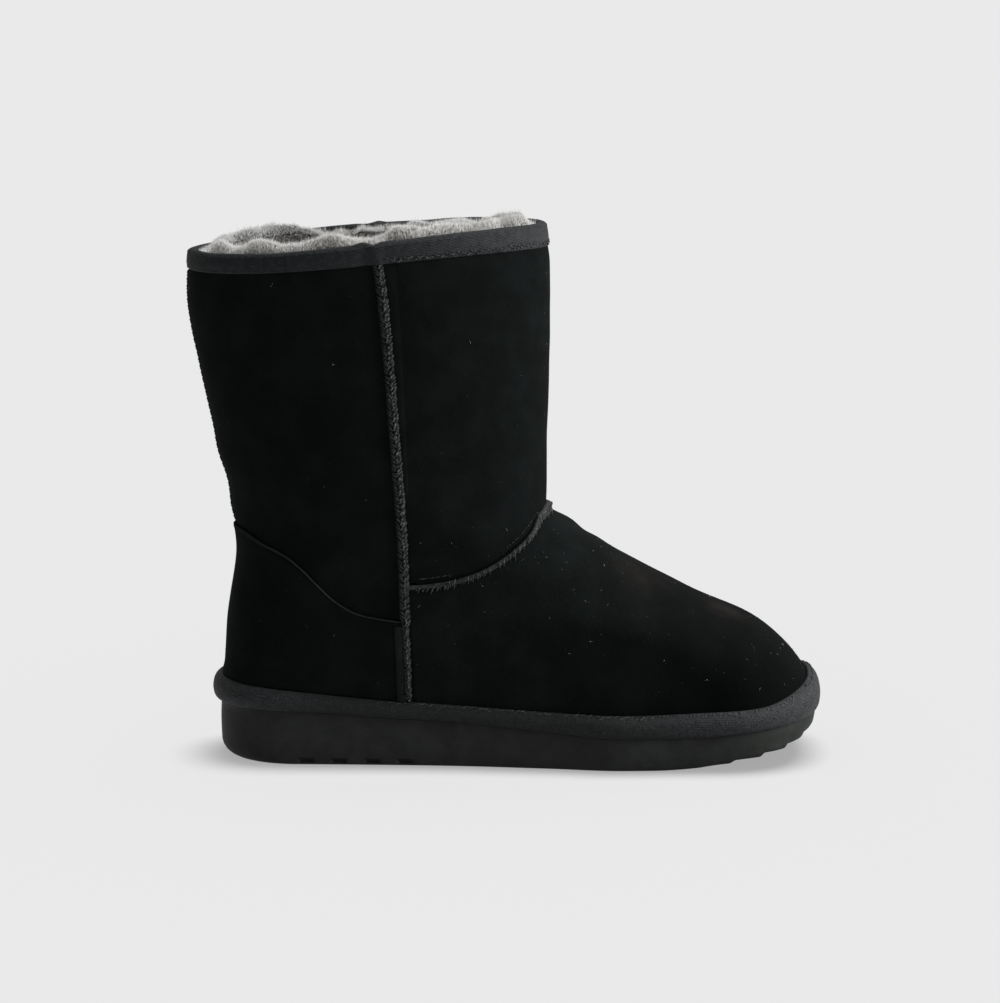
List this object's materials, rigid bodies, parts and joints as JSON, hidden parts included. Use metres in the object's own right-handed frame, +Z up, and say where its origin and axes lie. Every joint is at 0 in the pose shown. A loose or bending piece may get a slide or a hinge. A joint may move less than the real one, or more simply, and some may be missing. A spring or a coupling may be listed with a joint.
{
  "type": "mid-calf sheepskin boot",
  "caption": "Mid-calf pull-on boot for the right foot: hollow suede upper lined with wool, wide rand, flat foam outsole, bound collar.",
  "frame": {"origin": "on the floor, at the middle of the boot's box in plan", "axes": "+X to the toe, +Y to the inner side of the right foot, +Z up out of the collar"},
  "size_m": [0.282, 0.1058, 0.2377],
  "materials": {
    "suede": "black suede, short nap",
    "counter_suede": "black suede overlay, short nap",
    "rand_tape": "dark grey ribbed twill tape, padded",
    "collar_tape": "dark grey ribbed twill tape, folded",
    "sole_foam": "satin black moulded foam",
    "wool": "grey sheepskin wool"
  },
  "bodies": {
    "root": {"outsole": "sole_foam", "rand": "rand_tape", "upper": "suede", "heel_counter": "counter_suede", "collar_binding": "collar_tape", "insole": "wool"}
  },
  "joints": []
}
